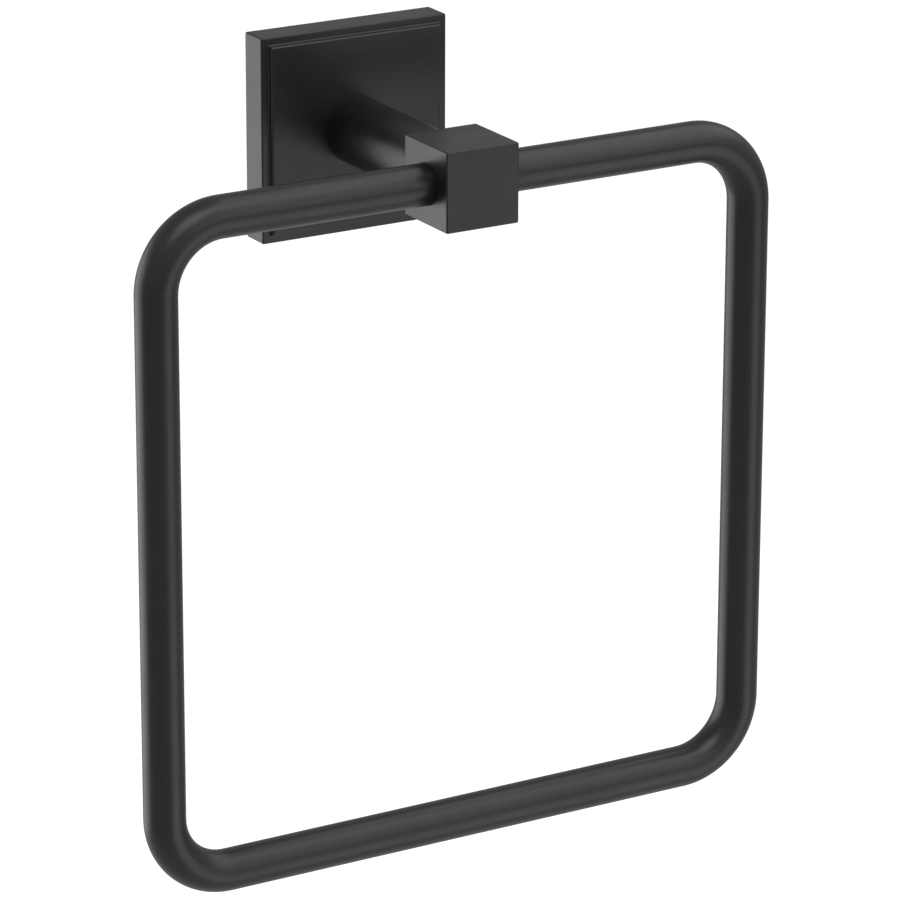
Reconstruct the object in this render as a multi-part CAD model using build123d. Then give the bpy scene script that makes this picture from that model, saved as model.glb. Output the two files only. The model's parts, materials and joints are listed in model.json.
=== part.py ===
"""A wall-mounted towel ring: a bent tube that swings in the square head of a post on a square wall plate.

Millimetres. The wall is the plane y = 0 and the ring hangs in front of it, towards -Y, with +Z up.
The origin is in the wall plane, midway between the two screws that hold the bracket.
"""
import os

from build123d import *

# Ring: one round tube, bent to a rounded square, its ends facing each other inside the head
ring_width = 175.2
ring_height = 175.6
tube_diameter = 10.4
tube_wall = 1.2
bend_radius = 17.0

# Post: a round arm and a square head, cast in one
projection = 70.0
head_side = 20.0
head_edge_radius = 0.4
head_corner_extra = 0.1
arm_diameter = 17.0
tenon_side = 8.5
tenon_corner_radius = 1.0
bore_clearance = 0.08

# Wall plate: a hollow casting with a raised panel on its front
plate_side = 52.2
plate_thickness = 8.0
plate_wall = 3.0
plate_edge_radius = 0.4
plate_corner_extra = 0.1
pocket_corner_radius = 1.5
panel_margin = 2.2
panel_height = 1.3
panel_foot_radius = 0.45
panel_edge_radius = 0.5
tenon_clearance = 0.05
tenon_relief = 0.2

# Screw and washer that clamp the plate to the post from behind
post_screw_diameter = 5.0
post_screw_length = 16.0
post_screw_head_diameter = 9.5
post_screw_head_height = 3.0
post_screw_head_rounding = 0.8
post_screw_socket = 3.0
post_screw_socket_depth = 1.8
post_screw_tip_room = 1.5
washer_diameter = 12.0
washer_thickness = 1.2
washer_clearance = 0.2
screw_head_gap = 0.8

# Screw whose dog point stands between the ends of the tube
retaining_screw_diameter = 4.0
retaining_screw_recess = 0.4
retaining_screw_socket = 2.0
retaining_screw_socket_depth = 1.8
dog_diameter = 2.5
dog_end_clearance = 0.2
dog_overreach = 1.2

# Bracket: a plate with leaning top and bottom edges that is screwed to the wall
bracket_side_gap = 2.1
bracket_drop = 3.1
bracket_front_gap = 1.0
bracket_bevel = 3.0
bracket_corner_radius = 1.5
wall_screw_hole_diameter = 4.5
wall_screw_head_diameter = 8.4
wall_screw_edge_distance = 6.0
bracket_window_clearance = 1.5

# Lip and boss inside the plate: it hangs on the bracket and is drawn to the wall from below
lip_width = 24.0
lip_setback = 0.6
seat_clearance = 0.05
boss_width = 10.0
boss_gap = 0.9
set_screw_diameter = 4.0
set_screw_recess = 1.2
set_screw_inset = 1.0
set_screw_tip_diameter = 1.0
set_screw_socket = 2.0
set_screw_socket_depth = 1.8
thread_clearance = 0.02

# Sizes that follow from those above; a standoff is a distance in front of the wall
tube_radius = tube_diameter / 2
head_back = projection - head_side
head_corner_radius = head_edge_radius + head_corner_extra
plate_corner_radius = plate_edge_radius + plate_corner_extra
ring_standoff = projection - head_side / 2
bore_radius = tube_radius + bore_clearance
bar_to_bar_width = ring_width - tube_diameter
bar_to_bar_height = ring_height - tube_diameter
tube_end_gap = dog_diameter + 2 * dog_end_clearance
panel_side = plate_side - 2 * panel_margin
panel_front = plate_thickness + panel_height
pocket_side = plate_side - 2 * plate_wall
pocket_depth = washer_thickness + post_screw_head_height + screw_head_gap
web_thickness = panel_front - pocket_depth
post_screw_seat = pocket_depth - washer_thickness
post_screw_end = post_screw_seat + post_screw_length
bracket_width = pocket_side - 2 * bracket_side_gap
bracket_height = pocket_side - 2 * bracket_drop
bracket_thickness = pocket_depth - bracket_front_gap
wall_screw_spacing = bracket_width - 2 * wall_screw_edge_distance
boss_top = bracket_height / 2 + boss_gap
set_screw_standoff = bracket_thickness - set_screw_inset

# Solids of revolution stand on their lower end
standing = (Align.CENTER, Align.CENTER, Align.MIN)


def wall_plane(standoff):
    """The plane parallel to the wall at a standoff, facing away from the wall."""
    return Plane.XZ.offset(standoff)


def level_plane(height):
    """The level plane at a height, centred on the ring's axis and facing up."""
    return Plane((0, -ring_standoff, height))


def front_face(piece):
    """The face of a piece that is farthest from the wall."""
    return piece.faces().sort_by(Axis.Y)[0]


def bracket_half_height(standoff):
    """Half the bracket's height at a standoff: its top and bottom edges lean outwards."""
    return bracket_height / 2 - bracket_bevel * (1 - standoff / bracket_thickness)


def side_prism(corners, width):
    """A prism across X from the corners of its side view, each a standoff and a height."""
    outline = Polygon(*[(-standoff, height) for standoff, height in corners], align=None)
    return extrude(Plane.YZ * outline, amount=width / 2, both=True)


def hex_socket(plane, across_flats, depth):
    """The hexagonal recess that a key turns, cut along the plane's normal."""
    outline = plane * RegularPolygon(across_flats / 2, side_count=6, major_radius=False)
    return extrude(outline, amount=depth)


def hanging_lip():
    """The lip at the top of the plate's pocket, resting on the bracket's leaning top edge."""
    top = pocket_side / 2
    corners = [
        (lip_setback, top),
        (lip_setback, bracket_half_height(lip_setback) + seat_clearance),
        (pocket_depth, bracket_half_height(pocket_depth) + seat_clearance),
        (pocket_depth, top),
    ]
    return side_prism(corners, lip_width)


def set_screw_boss():
    """The boss at the bottom of the plate's pocket that lengthens the set screw's thread."""
    bottom = -pocket_side / 2
    corners = [(0, bottom), (pocket_depth, bottom), (pocket_depth, -boss_top), (0, -boss_top)]
    return side_prism(corners, boss_width)


def wall_plate():
    """The hollow square plate that covers the bracket and carries the post."""
    plate = extrude(wall_plane(0) * Rectangle(plate_side, plate_side), amount=plate_thickness)
    plate = fillet(plate.edges().filter_by(Axis.Y), plate_corner_radius)
    plate = fillet(front_face(plate).edges(), plate_edge_radius)
    plate += extrude(wall_plane(plate_thickness) * Rectangle(panel_side, panel_side), amount=panel_height)
    border = plate.faces().filter_by(Axis.Y).sort_by(Axis.Y)[1]
    plate = fillet(border.inner_wires()[0].edges(), panel_foot_radius)
    plate = fillet(front_face(plate).edges(), panel_edge_radius)
    pocket = RectangleRounded(pocket_side, pocket_side, pocket_corner_radius)
    plate -= extrude(wall_plane(0) * pocket, amount=pocket_depth)
    plate += hanging_lip()
    plate += set_screw_boss()
    tenon_hole_side = tenon_side + 2 * tenon_clearance
    tenon_hole = RectangleRounded(tenon_hole_side, tenon_hole_side, tenon_corner_radius)
    plate -= extrude(wall_plane(pocket_depth) * tenon_hole, amount=web_thickness)
    underside = Plane((0, -set_screw_standoff, -plate_side / 2))
    thread = Circle(set_screw_diameter / 2 + thread_clearance)
    plate -= extrude(underside * thread, amount=plate_side / 2 - boss_top)
    return plate


def post():
    """The round arm with its square head: bored across for the ring and threaded at the back and below."""
    head = extrude(wall_plane(head_back) * Rectangle(head_side, head_side), amount=head_side)
    head = fillet(head.edges().filter_by(Axis.Y), head_corner_radius)
    head = fillet(head.faces().filter_by(Axis.Y).edges(), head_edge_radius)
    arm = extrude(wall_plane(panel_front) * Circle(arm_diameter / 2), amount=head_back - panel_front)
    tenon = RectangleRounded(tenon_side, tenon_side, tenon_corner_radius)
    tenon = extrude(wall_plane(panel_front) * tenon, amount=tenon_relief - web_thickness)
    casting = head + arm + tenon
    bore = Plane.YZ * Pos(-ring_standoff, 0) * Circle(bore_radius)
    casting -= extrude(bore, amount=head_side / 2, both=True)
    back_thread = wall_plane(pocket_depth) * Circle(post_screw_diameter / 2 + thread_clearance)
    casting -= extrude(back_thread, amount=post_screw_end + post_screw_tip_room - pocket_depth)
    lower_thread = level_plane(-head_side / 2) * Circle(retaining_screw_diameter / 2 + thread_clearance)
    casting -= extrude(lower_thread, amount=head_side / 2)
    return casting


def post_washer():
    """The washer under the head of the post's screw, bearing on the back of the plate's web."""
    outline = Circle(washer_diameter / 2) - Circle(post_screw_diameter / 2 + washer_clearance)
    return extrude(wall_plane(post_screw_seat) * outline, amount=washer_thickness)


def post_screw():
    """The round-headed socket screw that holds the plate to the post."""
    head_top = post_screw_seat - post_screw_head_height
    head = extrude(wall_plane(head_top) * Circle(post_screw_head_diameter / 2), amount=post_screw_head_height)
    head = fillet(head.edges().sort_by(Axis.Y)[-1], post_screw_head_rounding)
    shank = extrude(wall_plane(post_screw_seat) * Circle(post_screw_diameter / 2), amount=post_screw_length)
    return head + shank - hex_socket(wall_plane(head_top), post_screw_socket, post_screw_socket_depth)


def ring():
    """The bent tube, from one side of the dog point round to the other."""
    side = bar_to_bar_width / 2
    route = FilletPolyline(
        (tube_end_gap / 2, 0),
        (side, 0),
        (side, -bar_to_bar_height),
        (-side, -bar_to_bar_height),
        (-side, 0),
        (-tube_end_gap / 2, 0),
        radius=bend_radius,
    )
    path = wall_plane(ring_standoff) * route
    section = Circle(tube_radius) - Circle(tube_radius - tube_wall)
    return sweep(Plane(path @ 0, z_dir=path % 0) * section, path=path)


def ring_retaining_screw():
    """The grub screw in the head's underside, its dog point between the tube's ends."""
    bottom = -head_side / 2 + retaining_screw_recess
    shoulder = -bore_radius
    tip = -(tube_radius - tube_wall) + dog_overreach
    screw = extrude(level_plane(bottom) * Circle(retaining_screw_diameter / 2), amount=shoulder - bottom)
    screw += extrude(level_plane(shoulder) * Circle(dog_diameter / 2), amount=tip - shoulder)
    return screw - hex_socket(level_plane(bottom), retaining_screw_socket, retaining_screw_socket_depth)


def wall_bracket():
    """The bracket behind the plate: two countersunk screw holes and a window for the post's screw."""
    corners = [
        (0, bracket_half_height(0)),
        (bracket_thickness, bracket_height / 2),
        (bracket_thickness, -bracket_height / 2),
        (0, -bracket_half_height(0)),
    ]
    bracket = side_prism(corners, bracket_width)
    leaning_corners = bracket.faces().filter_by(Axis.X).edges().filter_by(Axis.Z, reverse=True)
    bracket = fillet(leaning_corners, bracket_corner_radius)
    window = Circle(washer_diameter / 2 + bracket_window_clearance)
    bracket -= extrude(wall_plane(0) * window, amount=bracket_thickness)
    hole_radius = wall_screw_hole_diameter / 2
    sink_radius = wall_screw_head_diameter / 2
    sink_depth = sink_radius - hole_radius
    for side in (-1, 1):
        place = Pos(side * wall_screw_spacing / 2, 0)
        bracket -= extrude(wall_plane(0) * place * Circle(hole_radius), amount=bracket_thickness)
        sink = Cone(hole_radius, sink_radius, sink_depth, align=standing)
        bracket -= wall_plane(bracket_thickness - sink_depth) * place * sink
    return bracket


def bracket_set_screw():
    """The grub screw in the plate's underside, its point against the bracket's leaning bottom edge."""
    tip_radius = set_screw_tip_diameter / 2
    radius = set_screw_diameter / 2
    point_height = radius - tip_radius
    tip = -bracket_half_height(set_screw_standoff + tip_radius) - seat_clearance
    bottom = -plate_side / 2 + set_screw_recess
    shank_height = tip - point_height - bottom
    base = Plane((0, -set_screw_standoff, bottom))
    screw = extrude(base * Circle(radius), amount=shank_height)
    screw += base.offset(shank_height) * Cone(radius, tip_radius, point_height, align=standing)
    return screw - hex_socket(base, set_screw_socket, set_screw_socket_depth)


pieces = {
    "wall_plate": wall_plate(),
    "post": post(),
    "post_washer": post_washer(),
    "post_screw": post_screw(),
    "ring": ring(),
    "ring_retaining_screw": ring_retaining_screw(),
    "wall_bracket": wall_bracket(),
    "bracket_set_screw": bracket_set_screw(),
}

os.makedirs("parts", exist_ok=True)
for name, piece in pieces.items():
    export_step(piece, f"parts/{name}.step")
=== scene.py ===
"""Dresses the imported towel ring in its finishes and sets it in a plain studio.

Metres, in the frame's own axes: the wall is the plane y = 0, the ring hangs towards -Y and +Z is up.
Sizes are written in millimetres, as on the drawing, and MM turns them to metres.
"""
import json
import logging
import math
from dataclasses import dataclass
from enum import Enum
from typing import Any, NamedTuple

import bmesh
import bpy
from mathutils import Matrix, Vector

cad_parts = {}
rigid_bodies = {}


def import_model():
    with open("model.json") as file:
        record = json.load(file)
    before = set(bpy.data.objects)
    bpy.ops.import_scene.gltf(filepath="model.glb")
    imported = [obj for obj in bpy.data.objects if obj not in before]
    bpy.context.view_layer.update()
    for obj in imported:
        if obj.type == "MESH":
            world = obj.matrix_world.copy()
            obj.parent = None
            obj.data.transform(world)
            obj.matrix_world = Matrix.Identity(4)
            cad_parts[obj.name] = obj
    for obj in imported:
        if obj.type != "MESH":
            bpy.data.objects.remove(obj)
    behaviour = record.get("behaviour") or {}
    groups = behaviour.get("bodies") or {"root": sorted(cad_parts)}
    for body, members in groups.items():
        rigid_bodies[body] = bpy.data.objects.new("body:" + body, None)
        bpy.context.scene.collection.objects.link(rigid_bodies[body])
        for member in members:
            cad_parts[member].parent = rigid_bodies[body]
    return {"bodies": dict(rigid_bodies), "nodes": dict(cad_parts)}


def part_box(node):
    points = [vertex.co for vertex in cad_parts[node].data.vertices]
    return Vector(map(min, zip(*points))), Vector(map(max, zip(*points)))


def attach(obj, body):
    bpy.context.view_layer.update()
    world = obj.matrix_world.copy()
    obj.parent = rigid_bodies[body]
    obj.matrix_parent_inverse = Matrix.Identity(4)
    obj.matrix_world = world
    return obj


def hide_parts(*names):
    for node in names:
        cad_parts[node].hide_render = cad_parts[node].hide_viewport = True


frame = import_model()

MM = 0.001
# The side of the picture in pixels, which the camera's framing is written in
PICTURE_SIDE = 900
# Points this close are one, and edges that turn more than this stay sharp
WELD_DISTANCE = 0.001 * MM
SHARP_ANGLE = math.radians(20)
# The turn round a screw's axis that one side of a hexagon takes up
HEX_SIDE = math.pi / 3
# Nearly all of a noise texture's values lie between these two
NOISE_LOW, NOISE_HIGH = 0.3, 0.7
# The sRGB curve: the end and the slope of its straight foot, then the offset and the power beyond it
FOOT_END, FOOT_SLOPE = 0.04045, 12.92
CURVE_OFFSET, CURVE_POWER = 0.055, 2.4
FULL_BYTE = 255

log = logging.getLogger("towel_ring")


class Body(str, Enum):
    """The bodies of the frame: what stays on the wall and what swings."""

    WALL_MOUNT = "wall_mount"
    RING = "ring"


class Slot(str, Enum):
    """The material slots that the record names."""

    COATED_CASTING = "coated_casting"
    COATED_TUBE = "coated_tube"
    PLATED_STEEL = "plated_steel"
    BLACKENED_STEEL = "blackened_steel"


class Outline(Enum):
    """The shape of one row of points round a screw's axis."""

    ROUND = "round"
    HEX = "hex"

    def radius(self, size: float, angle: float) -> float:
        """Gives the distance from the axis at an angle.

        Args:
            size: a round row's radius, or half a hexagonal row's width across its flats.
            angle: the direction round the axis, in radians.

        Returns:
            The distance, in the unit of size.
        """
        if self is Outline.ROUND:
            return size
        off_flat = (angle + HEX_SIDE / 2) % HEX_SIDE - HEX_SIDE / 2
        return size / math.cos(off_flat)


class Row(NamedTuple):
    """One row of points round a screw's axis, in millimetres; a size of 0 is a point on the axis."""

    outline: Outline
    size: float
    depth: float


def linear(colour: str) -> tuple[float, float, float, float]:
    """Turns an sRGB colour to the linear values that shaders work in.

    Args:
        colour: the colour as a hex value, such as "#202020".

    Returns:
        Linear red, green and blue, and an alpha of 1.
    """
    parts = [part / FULL_BYTE for part in bytes.fromhex(colour.lstrip("#"))]
    curved = [((part + CURVE_OFFSET) / (1 + CURVE_OFFSET)) ** CURVE_POWER for part in parts]
    red, green, blue = (p / FOOT_SLOPE if p <= FOOT_END else c for p, c in zip(parts, curved))
    return red, green, blue, 1.0


def add_node(
    tree: bpy.types.NodeTree, kind: str, inputs: dict[str | int, Any] | None = None, **settings: Any
) -> bpy.types.Node:
    """Adds one node to a tree, with its settings, values and links.

    Args:
        tree: the shader or geometry tree.
        kind: the node's type.
        inputs: what each input takes, by its name or number: a socket or a node to link from, or a value.
        settings: the node's own attributes, such as its operation.

    Returns:
        The new node.
    """
    node = tree.nodes.new(kind)
    for name, value in settings.items():
        setattr(node, name, value)
    for name, value in (inputs or {}).items():
        if isinstance(value, bpy.types.Node):
            value = value.outputs[0]
        if isinstance(value, bpy.types.NodeSocket):
            tree.links.new(value, node.inputs[name])
        else:
            node.inputs[name].default_value = value
    return node


def per_metre(size: float) -> float:
    """Gives a texture's scale from the size of one of its features, in millimetres."""
    return 1 / (size * MM)


def direction(azimuth: float, elevation: float) -> Vector:
    """Gives the direction of a place seen from the object.

    Args:
        azimuth: degrees round from the front of the object, -Y, towards +X.
        elevation: degrees above the horizon.

    Returns:
        A vector of length 1 that points to the place.
    """
    around, above = math.radians(azimuth), math.radians(elevation)
    return Vector(
        (math.sin(around) * math.cos(above), -math.cos(around) * math.cos(above), math.sin(above))
    )


def node_box(node: str) -> tuple[Vector, Vector]:
    """Measures a CAD node.

    Args:
        node: the node's name.

    Returns:
        The lowest and the highest corner of its box, in millimetres.
    """
    low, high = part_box(node)
    return low / MM, high / MM


class Recipe:
    """A geometry tree with named sizes, which is made once and then turned into a plain mesh."""

    def __init__(self, name: str) -> None:
        """Starts a tree that has no sizes yet.

        Args:
            name: the tree's name, which its mesh takes too.
        """
        self.name = name
        self.tree = bpy.data.node_groups.new(name, "GeometryNodeTree")
        self.tree.interface.new_socket("Geometry", in_out="OUTPUT", socket_type="NodeSocketGeometry")
        self.start = add_node(self.tree, "NodeGroupInput")
        self.values: dict[str, float | int] = {}

    def size(self, name: str, value: float | int) -> bpy.types.NodeSocket:
        """Adds a named input.

        Args:
            name: what the input is called in the tree.
            value: its value in this recipe, a whole number for a count.

        Returns:
            The socket inside the tree that carries the value.
        """
        kind = "NodeSocketInt" if isinstance(value, int) else "NodeSocketFloat"
        made = self.tree.interface.new_socket(name, in_out="INPUT", socket_type=kind)
        self.values[made.identifier] = value
        return next(s for s in self.start.outputs if s.identifier == made.identifier)

    def mesh(self, shape: bpy.types.Node, finish: bpy.types.Material, wall: float = 0.0) -> bpy.types.Mesh:
        """Ends the tree and turns what it makes into a plain mesh.

        Args:
            shape: the last node of the geometry that the tree has made.
            finish: the material that the mesh gets.
            wall: the thickness of a wall to build inwards, or 0 for none.

        Returns:
            The mesh, with no modifier behind it.
        """
        smooth = add_node(self.tree, "GeometryNodeSetShadeSmooth", {"Geometry": shape})
        realized = add_node(self.tree, "GeometryNodeRealizeInstances", {"Geometry": smooth})
        dressed = add_node(self.tree, "GeometryNodeSetMaterial", {"Geometry": realized, "Material": finish})
        add_node(self.tree, "NodeGroupOutput", {"Geometry": dressed})
        carrier = bpy.data.objects.new(self.name, bpy.data.meshes.new(self.name))
        bpy.context.scene.collection.objects.link(carrier)
        modifier = carrier.modifiers.new(self.name, "NODES")
        modifier.node_group = self.tree
        for identifier, value in self.values.items():
            modifier[identifier] = value
        if wall:
            solidify = carrier.modifiers.new("wall", "SOLIDIFY")
            solidify.thickness = wall
            solidify.offset = -1
        evaluated = carrier.evaluated_get(bpy.context.evaluated_depsgraph_get())
        made = bpy.data.meshes.new_from_object(evaluated)
        bpy.data.objects.remove(carrier)
        # A primitive starts with an empty slot, so the finish is moved to the first one
        made.materials.clear()
        made.materials.append(finish)
        made.polygons.foreach_set("material_index", [0] * len(made.polygons))
        return made


def place_piece(name: str, mesh: bpy.types.Mesh, body: Body, node: str) -> bpy.types.Object:
    """Makes an object of a finished mesh and ties it to the frame.

    Args:
        name: the piece's name.
        mesh: its mesh, already in place and dressed.
        body: the body that it moves with.
        node: the CAD node that it stands for.

    Returns:
        The new object.
    """
    mesh.name = name
    piece = bpy.data.objects.new(name, mesh)
    bpy.context.scene.collection.objects.link(piece)
    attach(piece, body.value)
    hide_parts(node)
    log.info("%s: %d faces, in place of %s", name, len(mesh.polygons), node)
    return piece


def dress_node(node: str, finish: bpy.types.Material) -> None:
    """Gives a CAD node its finish.

    Args:
        node: the node's name.
        finish: the material for all of it.
    """
    mesh = frame["nodes"][node].data
    mesh.materials.clear()
    mesh.materials.append(finish)
    log.info("%s: dressed in %s", node, finish.name)


@dataclass(frozen=True)
class PowderCoat:
    """Satin black powder coat, sprayed on metal and baked until it flows out.

    The eye sees a deep black with a broad, soft sheen. The baked film is never quite flat: a fine
    orange peel breaks the edge of each highlight, and the sheen drifts a little from place to place.
    Sizes are in millimetres, and a detail is how many finer layers a pattern has.
    """

    name: str
    deep_shade: str = "#0E0E0F"
    pale_shade: str = "#151516"
    least_roughness: float = 0.31
    most_roughness: float = 0.38
    # Real orange peel on a thin coat is about 0.3 mm across, and is drawn coarser so that it shows
    peel_size: float = 0.6
    peel_detail: float = 1.0
    peel_height: float = 0.002
    drift_size: float = 14.0
    drift_detail: float = 3.0
    tint_size: float = 5.0

    def material(self) -> bpy.types.Material:
        """Builds the coat's material.

        Returns:
            The material.
        """
        # Satin black powder coat, sprayed and baked: a deep black with a broad soft sheen, whose edges
        # a faint orange peel breaks up and whose strength drifts a little from place to place
        coat = bpy.data.materials.new(self.name)
        coat.use_nodes = True
        tree = coat.node_tree
        shader = tree.nodes["Principled BSDF"]
        place = add_node(tree, "ShaderNodeTexCoord").outputs["Object"]
        tint = add_node(tree, "ShaderNodeTexNoise", {"Vector": place, "Scale": per_metre(self.tint_size)})
        shade = add_node(tree, "ShaderNodeValToRGB", {"Fac": tint.outputs["Fac"]})
        for stop, colour in zip(shade.color_ramp.elements, (self.deep_shade, self.pale_shade)):
            stop.color = linear(colour)
        drift = add_node(
            tree,
            "ShaderNodeTexNoise",
            {"Vector": place, "Scale": per_metre(self.drift_size), "Detail": self.drift_detail},
        )
        sheen = add_node(
            tree,
            "ShaderNodeMapRange",
            {
                "Value": drift.outputs["Fac"],
                "From Min": NOISE_LOW,
                "From Max": NOISE_HIGH,
                "To Min": self.least_roughness,
                "To Max": self.most_roughness,
            },
        )
        peel = add_node(
            tree,
            "ShaderNodeTexNoise",
            {"Vector": place, "Scale": per_metre(self.peel_size), "Detail": self.peel_detail},
        )
        relief = add_node(
            tree, "ShaderNodeBump", {"Distance": self.peel_height * MM, "Height": peel.outputs["Fac"]}
        )
        tree.links.new(shade.outputs["Color"], shader.inputs["Base Color"])
        tree.links.new(sheen.outputs["Result"], shader.inputs["Roughness"])
        tree.links.new(relief.outputs["Normal"], shader.inputs["Normal"])
        return coat


@dataclass(frozen=True)
class ZincPlate:
    """Bright zinc on rolled and turned steel, with a clear passivation over it.

    The eye sees a pale, slightly blue metal with faint straw patches, and the fine straight grain
    of the rolled steel under the plating draws its highlights out across the grain. Sizes are in
    millimetres, and a detail is how many finer layers a pattern has.
    """

    name: str
    blue_tint: str = "#AEB5BF"
    straw_tint: str = "#C6C2B4"
    least_roughness: float = 0.24
    most_roughness: float = 0.40
    patch_size: float = 7.0
    patch_detail: float = 3.0
    # Rolling marks are some hundredths of a millimetre wide, and are drawn coarser so that they show
    grain_width: float = 0.25
    grain_length: float = 9.0
    grain_detail: float = 2.0
    grain_height: float = 0.002

    def material(self) -> bpy.types.Material:
        """Builds the plating's material.

        Returns:
            The material.
        """
        # Bright zinc plate over rolled steel, passivated: a pale bluish metal with faint straw patches,
        # and a fine straight grain that draws its highlights out
        plate = bpy.data.materials.new(self.name)
        plate.use_nodes = True
        tree = plate.node_tree
        shader = tree.nodes["Principled BSDF"]
        shader.inputs["Metallic"].default_value = 1.0
        place = add_node(tree, "ShaderNodeTexCoord").outputs["Object"]
        patch = add_node(
            tree,
            "ShaderNodeTexNoise",
            {"Vector": place, "Scale": per_metre(self.patch_size), "Detail": self.patch_detail},
        )
        tint = add_node(tree, "ShaderNodeValToRGB", {"Fac": patch.outputs["Fac"]})
        for stop, colour in zip(tint.color_ramp.elements, (self.blue_tint, self.straw_tint)):
            stop.color = linear(colour)
        across = per_metre(self.grain_width)
        stretched = add_node(
            tree,
            "ShaderNodeMapping",
            {"Vector": place, "Scale": (per_metre(self.grain_length), across, across)},
        )
        grain = add_node(
            tree, "ShaderNodeTexNoise", {"Vector": stretched, "Scale": 1.0, "Detail": self.grain_detail}
        )
        polish = add_node(
            tree,
            "ShaderNodeMapRange",
            {
                "Value": grain.outputs["Fac"],
                "From Min": NOISE_LOW,
                "From Max": NOISE_HIGH,
                "To Min": self.least_roughness,
                "To Max": self.most_roughness,
            },
        )
        relief = add_node(
            tree, "ShaderNodeBump", {"Distance": self.grain_height * MM, "Height": grain.outputs["Fac"]}
        )
        tree.links.new(tint.outputs["Color"], shader.inputs["Base Color"])
        tree.links.new(polish.outputs["Result"], shader.inputs["Roughness"])
        tree.links.new(relief.outputs["Normal"], shader.inputs["Normal"])
        return plate


@dataclass(frozen=True)
class BlackOxide:
    """Alloy steel screws, hardened and blackened in a hot bath, then oiled.

    The eye sees a charcoal metal with a dull, mottled gleam: the oxide is thin, so bare steel shines
    through a little, and it takes unevenly over the cut threads. Sizes are in millimetres, and a
    detail is how many finer layers a pattern has.
    """

    name: str
    charcoal: str = "#26272A"
    thin_oxide: str = "#3D3E42"
    least_roughness: float = 0.38
    most_roughness: float = 0.58
    mottle_size: float = 0.8
    mottle_detail: float = 4.0
    pit_size: float = 0.2
    pit_height: float = 0.003

    def material(self) -> bpy.types.Material:
        """Builds the oxide's material.

        Returns:
            The material.
        """
        # Black oxide on hardened steel, oiled: a charcoal metal with a dull, mottled gleam where the
        # thin oxide lets the steel shine through
        oxide = bpy.data.materials.new(self.name)
        oxide.use_nodes = True
        tree = oxide.node_tree
        shader = tree.nodes["Principled BSDF"]
        shader.inputs["Metallic"].default_value = 1.0
        place = add_node(tree, "ShaderNodeTexCoord").outputs["Object"]
        mottle = add_node(
            tree,
            "ShaderNodeTexNoise",
            {"Vector": place, "Scale": per_metre(self.mottle_size), "Detail": self.mottle_detail},
        )
        shade = add_node(tree, "ShaderNodeValToRGB", {"Fac": mottle.outputs["Fac"]})
        for stop, colour in zip(shade.color_ramp.elements, (self.charcoal, self.thin_oxide)):
            stop.color = linear(colour)
        gleam = add_node(
            tree,
            "ShaderNodeMapRange",
            {
                "Value": mottle.outputs["Fac"],
                "From Min": NOISE_LOW,
                "From Max": NOISE_HIGH,
                "To Min": self.most_roughness,
                "To Max": self.least_roughness,
            },
        )
        pits = add_node(tree, "ShaderNodeTexNoise", {"Vector": place, "Scale": per_metre(self.pit_size)})
        relief = add_node(
            tree, "ShaderNodeBump", {"Distance": self.pit_height * MM, "Height": pits.outputs["Fac"]}
        )
        tree.links.new(shade.outputs["Color"], shader.inputs["Base Color"])
        tree.links.new(gleam.outputs["Result"], shader.inputs["Roughness"])
        tree.links.new(relief.outputs["Normal"], shader.inputs["Normal"])
        return oxide


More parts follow.
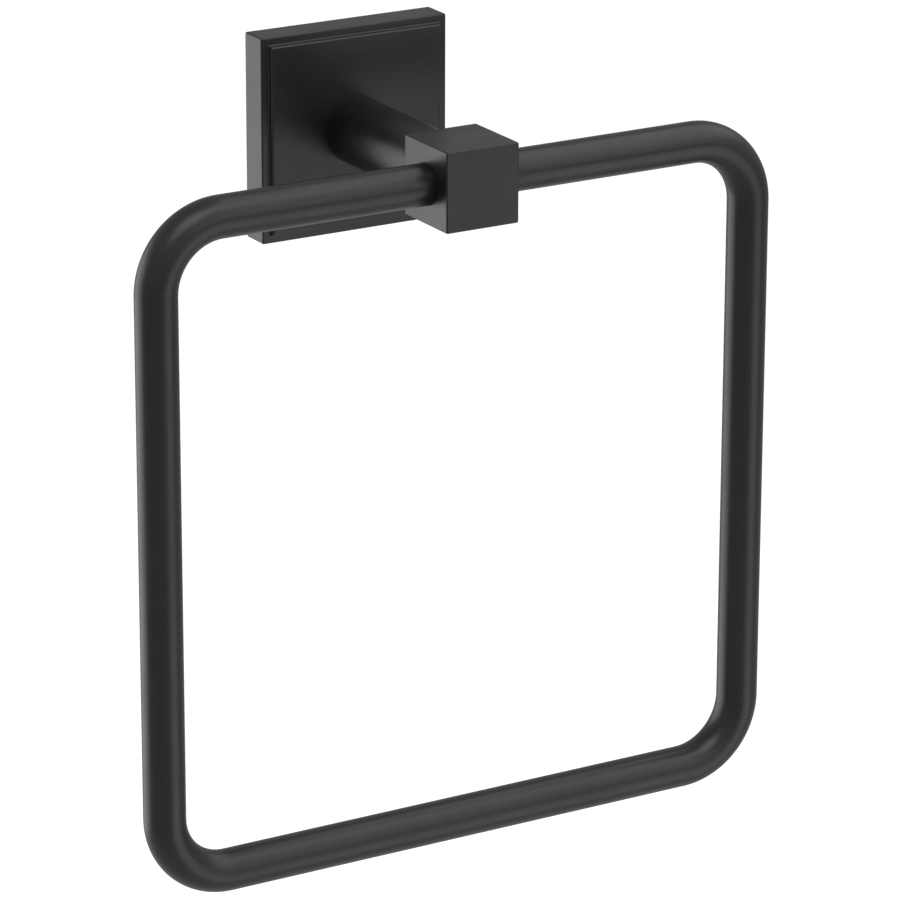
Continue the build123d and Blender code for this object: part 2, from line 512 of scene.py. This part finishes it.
@dataclass(frozen=True)
class SocketScrew:
    """A screw with a hexagonal socket: its head, if it has one, its cut thread and its point.

    The screw's place and length are its CAD node's. Depths run from the face with the socket along
    the screw, and all sizes are in millimetres.
    """

    name: str
    node: str
    slot: Slot
    points_to: tuple[float, float, float]
    thread_diameter: float
    thread_pitch: float
    socket_width: float
    socket_depth: float
    point_length: float
    # The radius of each row of points beyond the thread, and how far it is from the screw's tip
    point_rows: tuple[tuple[float, float], ...]
    head_diameter: float = 0.0
    head_height: float = 0.0
    head_rounding: float = 0.0
    head_steps: int = 7
    sides: int = 48
    rows_per_turn: int = 14
    # The depth of a cut metric thread, and where its flank starts and ends between root and crest
    depth_per_pitch: float = 0.6134
    flank: tuple[float, float] = (0.125, 0.4375)
    half_turn: float = 0.5
    socket_chamfer: float = 0.15
    socket_cone: float = 0.3

    @property
    def root_radius(self) -> float:
        """The radius at the bottom of the thread."""
        return self.thread_diameter / 2 - self.depth_per_pitch * self.thread_pitch

    @property
    def length(self) -> float:
        """The length of the whole screw."""
        low, high = node_box(self.node)
        return abs((high - low).dot(Vector(self.points_to)))

    @property
    def face_centre(self) -> Vector:
        """The middle of the face with the socket."""
        low, high = node_box(self.node)
        return (low + high) / 2 - Vector(self.points_to) * self.length / 2

    @property
    def thread_end(self) -> float:
        """The depth at which the thread ends."""
        return self.length - self.point_length

    @property
    def thread_length(self) -> float:
        """The length of the thread, which starts under the head."""
        return self.thread_end - self.head_height

    def thread(self, finish: bpy.types.Material) -> bpy.types.Mesh:
        """Makes the thread as a sleeve round +Z that runs out to its root at both ends.

        Args:
            finish: the screw's material.

        Returns:
            The sleeve's mesh, open at both ends, its middle at the origin.
        """
        recipe = Recipe(f"{self.name}_thread")
        tree = recipe.tree
        crest = recipe.size("Crest Radius", self.thread_diameter / 2 * MM)
        root = recipe.size("Root Radius", self.root_radius * MM)
        pitch = recipe.size("Pitch", self.thread_pitch * MM)
        length = recipe.size("Length", self.thread_length * MM)
        sides = recipe.size("Sides", self.sides)
        rows = recipe.size("Rows", round(self.rows_per_turn * self.thread_length / self.thread_pitch))
        sleeve = add_node(
            tree,
            "GeometryNodeMeshCylinder",
            {"Vertices": sides, "Side Segments": rows, "Radius": crest, "Depth": length},
            fill_type="NONE",
        )
        place = add_node(tree, "GeometryNodeInputPosition")
        x, y, z = add_node(tree, "ShaderNodeSeparateXYZ", {"Vector": place}).outputs
        angle = add_node(tree, "ShaderNodeMath", {0: y, 1: x}, operation="ARCTAN2")
        turn = add_node(tree, "ShaderNodeMath", {0: angle, 1: math.tau}, operation="DIVIDE")
        climb = add_node(tree, "ShaderNodeMath", {0: z, 1: pitch}, operation="DIVIDE")
        along = add_node(tree, "ShaderNodeMath", {0: climb, 1: turn}, operation="SUBTRACT")
        wave = add_node(tree, "ShaderNodeMath", {0: along, 1: self.half_turn}, operation="PINGPONG")
        low, high = self.flank
        tooth = add_node(tree, "ShaderNodeMapRange", {"Value": wave, "From Min": low, "From Max": high})
        middle = add_node(tree, "ShaderNodeMath", {0: length, 1: 2.0}, operation="DIVIDE")
        off_middle = add_node(tree, "ShaderNodeMath", {0: z}, operation="ABSOLUTE")
        to_end = add_node(tree, "ShaderNodeMath", {0: middle, 1: off_middle}, operation="SUBTRACT")
        run_out = add_node(tree, "ShaderNodeMapRange", {"Value": to_end, "From Max": pitch})
        height = add_node(tree, "ShaderNodeMath", {0: tooth, 1: run_out}, operation="MULTIPLY")
        radius = add_node(tree, "ShaderNodeMapRange", {"Value": height, "To Min": root, "To Max": crest})
        narrowing = add_node(tree, "ShaderNodeMath", {0: radius, 1: crest}, operation="DIVIDE")
        factors = add_node(tree, "ShaderNodeCombineXYZ", {"X": narrowing, "Y": narrowing, "Z": 1.0})
        cut = add_node(tree, "ShaderNodeVectorMath", {0: place, 1: factors}, operation="MULTIPLY")
        shape = add_node(tree, "GeometryNodeSetPosition", {"Geometry": sleeve, "Position": cut})
        return recipe.mesh(shape, finish)

    def face_rows(self) -> list[Row]:
        """Lists the rows of points from the bottom of the socket to the start of the thread.

        Returns:
            The rows, in order.
        """
        half_width = self.socket_width / 2
        corner = half_width / math.cos(HEX_SIDE / 2)
        rows = [
            Row(Outline.ROUND, 0.0, self.socket_depth + self.socket_cone),
            Row(Outline.HEX, half_width, self.socket_depth),
            Row(Outline.HEX, half_width, self.socket_chamfer),
            Row(Outline.ROUND, corner + self.socket_chamfer, 0.0),
        ]
        if self.head_diameter:
            flat = self.head_diameter / 2 - self.head_rounding
            for step in range(self.head_steps):
                lean = math.pi / 2 * step / (self.head_steps - 1)
                radius = flat + self.head_rounding * math.sin(lean)
                rows.append(Row(Outline.ROUND, radius, self.head_rounding * (1 - math.cos(lean))))
            rows.append(Row(Outline.ROUND, self.head_diameter / 2, self.head_height))
        rows.append(Row(Outline.ROUND, self.root_radius, self.head_height))
        return rows

    def add_skin(self, form: bmesh.types.BMesh, rows: list[Row]) -> None:
        """Joins rows of points round the axis into a skin.

        Args:
            form: the mesh that gets the skin.
            rows: the rows, in order.
        """
        last: list[bmesh.types.BMVert] = []
        for outline, size, depth in rows:
            turns = [math.tau * side / self.sides for side in range(self.sides if size else 1)]
            spokes = [(angle, outline.radius(size, angle) * MM) for angle in turns]
            row = [form.verts.new((r * math.cos(a), r * math.sin(a), depth * MM)) for a, r in spokes]
            for side in range(self.sides if last else 0):
                following = (side + 1) % self.sides
                corners = [last[side % len(last)], last[following % len(last)]]
                corners += [row[following % len(row)], row[side % len(row)]]
                form.faces.new(dict.fromkeys(corners))
            last = row

    def build(self, finish: bpy.types.Material) -> bpy.types.Object:
        """Builds the screw where it is fitted.

        Args:
            finish: the screw's material.

        Returns:
            The screw's object.
        """
        point = [Row(Outline.ROUND, self.root_radius, self.thread_end)]
        point += [Row(Outline.ROUND, radius, self.length - to_tip) for radius, to_tip in self.point_rows]
        form = bmesh.new()
        mesh = self.thread(finish)
        form.from_mesh(mesh)
        thread_middle = (self.head_height + self.thread_end) / 2
        bmesh.ops.translate(form, vec=(0, 0, thread_middle * MM), verts=form.verts)
        self.add_skin(form, self.face_rows())
        self.add_skin(form, point)
        bmesh.ops.remove_doubles(form, verts=form.verts, dist=WELD_DISTANCE)
        bmesh.ops.recalc_face_normals(form, faces=form.faces)
        turned = Vector((0, 0, 1)).rotation_difference(Vector(self.points_to)).to_matrix().to_4x4()
        form.transform(Matrix.Translation(self.face_centre * MM) @ turned)
        for each in form.faces:
            each.smooth = True
        form.to_mesh(mesh)
        form.free()
        mesh.set_sharp_from_angle(angle=SHARP_ANGLE)
        return place_piece(self.name, mesh, Body.WALL_MOUNT, self.node)


@dataclass
class WallFixing:
    """What is behind the plate: the bracket on the wall, and the set screw that draws the plate on to it."""

    set_screw: SocketScrew = SocketScrew(
        name="set_screw",
        node="bracket_set_screw",
        slot=Slot.BLACKENED_STEEL,
        points_to=(0, 0, 1),
        thread_diameter=4.0,
        thread_pitch=0.7,
        socket_width=2.0,
        socket_depth=1.8,
        point_length=1.5,
        point_rows=((0.5, 0.0), (0.0, 0.0)),
    )

    def build(self, plating: bpy.types.Material, oxide: bpy.types.Material) -> None:
        """Dresses the bracket and builds its set screw.

        Args:
            plating: the zinc plating on the bracket.
            oxide: the black oxide on the set screw.
        """
        dress_node("wall_bracket", plating)
        self.set_screw.build(oxide)


@dataclass
class PostAndPlate:
    """The castings that are seen, plate and post, with the screw and washer that clamp them together."""

    screw: SocketScrew = SocketScrew(
        name="clamping_screw",
        node="post_screw",
        slot=Slot.PLATED_STEEL,
        points_to=(0, -1, 0),
        thread_diameter=5.0,
        thread_pitch=0.8,
        socket_width=3.0,
        socket_depth=1.8,
        point_length=0.4,
        point_rows=((1.7, 0.0), (0.0, 0.0)),
        head_diameter=9.5,
        head_height=3.0,
        head_rounding=0.8,
    )

    def build(self, coat: bpy.types.Material, plating: bpy.types.Material) -> None:
        """Dresses the castings and the washer, and builds the screw.

        Args:
            coat: the powder coat on the castings.
            plating: the zinc plating on the screw and washer.
        """
        dress_node("wall_plate", coat)
        dress_node("post", coat)
        dress_node("post_washer", plating)
        self.screw.build(plating)


@dataclass
class HangingRing:
    """The ring that swings in the head, and the grub screw that keeps it there; sizes in millimetres.

    The ring's outer sizes and its distance from the wall are its CAD node's.
    """

    tube_wall: float = 1.2
    bend_radius: float = 17.0
    end_gap: float = 2.9
    tube_sides: int = 96
    steps_per_bend: int = 28
    screw: SocketScrew = SocketScrew(
        name="retaining_screw",
        node="ring_retaining_screw",
        slot=Slot.BLACKENED_STEEL,
        points_to=(0, 0, 1),
        thread_diameter=4.0,
        thread_pitch=0.7,
        socket_width=2.0,
        socket_depth=1.8,
        point_length=2.48,
        point_rows=((1.25, 2.48), (1.25, 0.2), (1.05, 0.0), (0.0, 0.0)),
    )

    def tube(self, finish: bpy.types.Material) -> bpy.types.Mesh:
        """Sweeps the tube along its bent path, from one side of the grub screw round to the other.

        Args:
            finish: the ring's material.

        Returns:
            The tube's mesh, with its wall and open ends.
        """
        low, high = node_box("ring")
        # The upper bar's axis is level with the origin
        tube_radius = high.z
        recipe = Recipe("bent_tube")
        tree = recipe.tree
        side = recipe.size("Half Width", (high.x - tube_radius) * MM)
        drop = recipe.size("Drop", (-low.z - tube_radius) * MM)
        gap = recipe.size("Half End Gap", self.end_gap / 2 * MM)
        standoff = recipe.size("Standoff", -(low.y + high.y) / 2 * MM)
        bend = recipe.size("Bend Radius", self.bend_radius * MM)
        radius = recipe.size("Tube Radius", tube_radius * MM)
        steps = recipe.size("Steps per Bend", self.steps_per_bend)
        sides = recipe.size("Tube Sides", self.tube_sides)
        other_side, bottom, other_gap, front = (
            add_node(tree, "ShaderNodeMath", {0: 0.0, 1: value}, operation="SUBTRACT")
            for value in (side, drop, gap, standoff)
        )
        level = 0.0
        corners = [
            (gap, level),
            (side, level),
            (side, bottom),
            (other_side, bottom),
            (other_side, level),
            (other_gap, level),
        ]
        number = add_node(tree, "GeometryNodeInputIndex")
        chosen = add_node(tree, "GeometryNodeIndexSwitch", {"Index": number}, data_type="VECTOR")
        while len(chosen.index_switch_items) < len(corners):
            chosen.index_switch_items.new()
        for place, (x, z) in zip(chosen.inputs[1:], corners):
            corner = add_node(tree, "ShaderNodeCombineXYZ", {"X": x, "Y": front, "Z": z})
            tree.links.new(corner.outputs[0], place)
        line = add_node(tree, "GeometryNodeMeshLine", {"Count": len(corners)})
        outline = add_node(tree, "GeometryNodeSetPosition", {"Geometry": line, "Position": chosen})
        route = add_node(tree, "GeometryNodeMeshToCurve", {"Mesh": outline})
        bent = add_node(
            tree, "GeometryNodeFilletCurve", {"Curve": route, "Count": steps, "Radius": bend}, mode="POLY"
        )
        section = add_node(tree, "GeometryNodeCurvePrimitiveCircle", {"Resolution": sides, "Radius": radius})
        swept = add_node(tree, "GeometryNodeCurveToMesh", {"Curve": bent, "Profile Curve": section})
        return recipe.mesh(swept, finish, wall=self.tube_wall * MM)

    def build(self, coat: bpy.types.Material, oxide: bpy.types.Material) -> None:
        """Builds the ring and the grub screw that keeps it in the head.

        Args:
            coat: the powder coat on the ring.
            oxide: the black oxide on the grub screw.
        """
        mesh = self.tube(coat)
        mesh.set_sharp_from_angle(angle=SHARP_ANGLE)
        place_piece("bent_ring", mesh, Body.RING, "ring")
        self.screw.build(oxide)


@dataclass(frozen=True)
class SoftBox:
    """A square studio lamp with a white front, aimed at the object; angles in degrees and sizes in metres.

    Its level is how bright its front looks, where a white card in full light is 1.
    """

    name: str
    azimuth: float
    elevation: float
    distance: float
    width: float
    height: float
    level: float

    def add(self, aim: Vector) -> None:
        """Sets the lamp up.

        Args:
            aim: the point that it faces.
        """
        data = bpy.data.lights.new(self.name, "AREA")
        data.shape = "RECTANGLE"
        data.size, data.size_y = self.width, self.height
        # A flat lamp's power is its area times pi times how bright its front looks
        data.energy = self.level * math.pi * self.width * self.height
        lamp = bpy.data.objects.new(self.name, data)
        towards = direction(self.azimuth, self.elevation)
        facing = towards.to_track_quat("Z", "Y").to_matrix().to_4x4()
        lamp.matrix_world = Matrix.Translation(aim + towards * self.distance) @ facing
        bpy.context.scene.collection.objects.link(lamp)
        log.info("%s: a lamp at %.0f, %.0f degrees", self.name, self.azimuth, self.elevation)


def background_strength(
    tree: bpy.types.NodeTree, lit: float | bpy.types.Node, to_camera: float, in_shine: float
) -> bpy.types.Node:
    """Works out how bright the background is, by what looks at it.

    Args:
        tree: the tree of the floor's paint or of the surround.
        lit: the strength for every ray, or the node that gives it.
        to_camera: what is added where the camera sees it, so that it comes out white.
        in_shine: what is added where a shiny or clear surface shows it.

    Returns:
        The node that gives the strength.
    """
    ray = add_node(tree, "ShaderNodeLightPath").outputs
    shine = add_node(
        tree, "ShaderNodeMath", {0: ray["Is Glossy Ray"], 1: ray["Is Transmission Ray"]}, operation="MAXIMUM"
    )
    shown = add_node(tree, "ShaderNodeMath", {0: shine, 1: in_shine, 2: lit}, operation="MULTIPLY_ADD")
    return add_node(
        tree, "ShaderNodeMath", {0: ray["Is Camera Ray"], 1: to_camera, 2: shown}, operation="MULTIPLY_ADD"
    )


@dataclass
class Studio:
    """The pale floor, the soft lamps, the surround and the camera; angles in degrees, lengths in metres."""

    aim: tuple[float, float, float] = (0.0, -0.05976, -0.070)
    camera_azimuth: float = -30.6289
    camera_elevation: float = 18.9316
    camera_roll: float = 0.2033
    camera_distance: float = 1.2305
    focal_pixels: float = 5053.74
    middle_pixel: tuple[float, float] = (460.19, 455.23)
    sensor: float = 36.0
    white: str = "#FFFFFF"
    floor_height: float = -1.0
    floor_radius: float = 14.0
    floor_sides: int = 128
    floor_colour: str = "#CBCBCB"
    floor_to_camera: float = 0.78
    surround_level: float = 0.46
    # The room's dimmer side: its level, where its middle is, and how far from there it fades and ends
    dim_side_level: float = 0.3
    dim_side_azimuth: float = 150.0
    dim_side_elevation: float = 10.0
    dim_side_core: float = 30.0
    dim_side_edge: float = 75.0
    surround_to_camera: float = 0.7
    in_shine: float = 0.1
    lamps: tuple[SoftBox, ...] = (
        SoftBox("right_overhead", azimuth=76, elevation=48, distance=2.0, width=2.4, height=1.7, level=1.24),
        SoftBox("front_overhead", azimuth=-20, elevation=60, distance=2.0, width=1.4, height=1.2, level=2.3),
        SoftBox("front_right", azimuth=26, elevation=20, distance=2.0, width=1.4, height=1.1, level=0.8),
        SoftBox("low_right", azimuth=34, elevation=-28, distance=1.1, width=0.7, height=0.8, level=0.99),
        SoftBox("back_left", azimuth=-138, elevation=-6, distance=1.6, width=1.6, height=1.5, level=1.7),
    )

    def add_camera(self) -> None:
        """Sets the camera at the photograph's place, angle and framing."""
        back = direction(self.camera_azimuth, self.camera_elevation)
        level_turn = back.to_track_quat("Z", "Y").to_matrix().to_4x4()
        roll = Matrix.Rotation(math.radians(self.camera_roll), 4, "Z")
        data = bpy.data.cameras.new("camera")
        data.sensor_width = self.sensor
        data.lens = self.focal_pixels * self.sensor / PICTURE_SIDE
        middle_x, middle_y = self.middle_pixel
        data.shift_x = (PICTURE_SIDE / 2 - middle_x) / PICTURE_SIDE
        data.shift_y = (middle_y - PICTURE_SIDE / 2) / PICTURE_SIDE
        camera = bpy.data.objects.new("camera", data)
        place = Matrix.Translation(Vector(self.aim) + back * self.camera_distance)
        camera.matrix_world = place @ level_turn @ roll
        bpy.context.scene.collection.objects.link(camera)
        bpy.context.scene.camera = camera

    def floor_paint(self) -> bpy.types.Material:
        """Makes the floor's paint.

        Returns:
            The material: lit paint, which keeps shadows, and an even glow that turns it white to the camera.
        """
        # Pale matt wall paint, rolled on: no shine of its own, so the eye sees only an even pale ground
        paint = bpy.data.materials.new("rolled_matt_pale_paint")
        paint.use_nodes = True
        paint.cycles.emission_sampling = "NONE"
        tree = paint.node_tree
        shader = tree.nodes["Principled BSDF"]
        shader.inputs["Base Color"].default_value = linear(self.floor_colour)
        shader.inputs["Roughness"].default_value = 1.0
        shader.inputs["Specular IOR Level"].default_value = 0.0
        shader.inputs["Emission Color"].default_value = linear(self.white)
        glow = background_strength(tree, 0.0, self.floor_to_camera, self.in_shine)
        tree.links.new(glow.outputs[0], shader.inputs["Emission Strength"])
        return paint

    def add_floor(self) -> None:
        """Lays the floor well below the object."""
        form = bmesh.new()
        bmesh.ops.create_circle(form, cap_ends=True, segments=self.floor_sides, radius=self.floor_radius)
        bmesh.ops.translate(form, vec=(0, 0, self.floor_height), verts=form.verts)
        mesh = bpy.data.meshes.new("floor")
        form.to_mesh(mesh)
        form.free()
        mesh.materials.append(self.floor_paint())
        floor = bpy.data.objects.new("floor", mesh)
        bpy.context.scene.collection.objects.link(floor)

    def room_light(self, tree: bpy.types.NodeTree) -> bpy.types.Node:
        """Works out how bright the room is in each direction.

        Args:
            tree: the tree of the surround.

        Returns:
            The node that gives the strength: even, but for the dimmer side behind the object.
        """
        towards = add_node(tree, "ShaderNodeTexCoord").outputs["Generated"]
        middle = direction(self.dim_side_azimuth, self.dim_side_elevation)
        nearness = add_node(tree, "ShaderNodeVectorMath", {0: towards, 1: middle}, operation="DOT_PRODUCT")
        return add_node(
            tree,
            "ShaderNodeMapRange",
            {
                "Value": nearness.outputs["Value"],
                "From Min": math.cos(math.radians(self.dim_side_edge)),
                "From Max": math.cos(math.radians(self.dim_side_core)),
                "To Min": self.surround_level,
                "To Max": self.dim_side_level,
            },
            interpolation_type="SMOOTHSTEP",
        )

    def add_surround(self) -> None:
        """Gives the room a soft white light from all round."""
        world = bpy.data.worlds.new("surround")
        world.use_nodes = True
        tree = world.node_tree
        light = tree.nodes["Background"]
        light.inputs["Color"].default_value = linear(self.white)
        room = self.room_light(tree)
        strength = background_strength(tree, room, self.surround_to_camera, self.in_shine)
        tree.links.new(strength.outputs[0], light.inputs["Strength"])
        bpy.context.scene.world = world

    def build(self) -> None:
        """Sets up the whole studio."""
        bpy.context.scene.view_settings.view_transform = "Standard"
        self.add_camera()
        self.add_floor()
        self.add_surround()
        for lamp in self.lamps:
            lamp.add(Vector(self.aim))


def clear_start_scene() -> None:
    """Removes whatever a new file starts with and keeps the frame."""
    kept = [*frame["nodes"].values(), *frame["bodies"].values()]
    for thing in list(bpy.data.objects):
        if thing not in kept:
            bpy.data.objects.remove(thing)


def main() -> None:
    """Builds the sub-assemblies and the studio in order."""
    logging.basicConfig(level=logging.INFO, format="%(name)s: %(message)s")
    clear_start_scene()
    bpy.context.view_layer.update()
    casting_coat = PowderCoat("satin_black_powder_coat_on_casting").material()
    tube_coat = PowderCoat("satin_black_powder_coat_on_tube").material()
    plating = ZincPlate("clear_passivated_zinc_plate").material()
    oxide = BlackOxide("oiled_black_oxide").material()
    WallFixing().build(plating, oxide)
    PostAndPlate().build(casting_coat, plating)
    HangingRing().build(tube_coat, oxide)
    Studio().build()


if __name__ == "__main__":
    main()
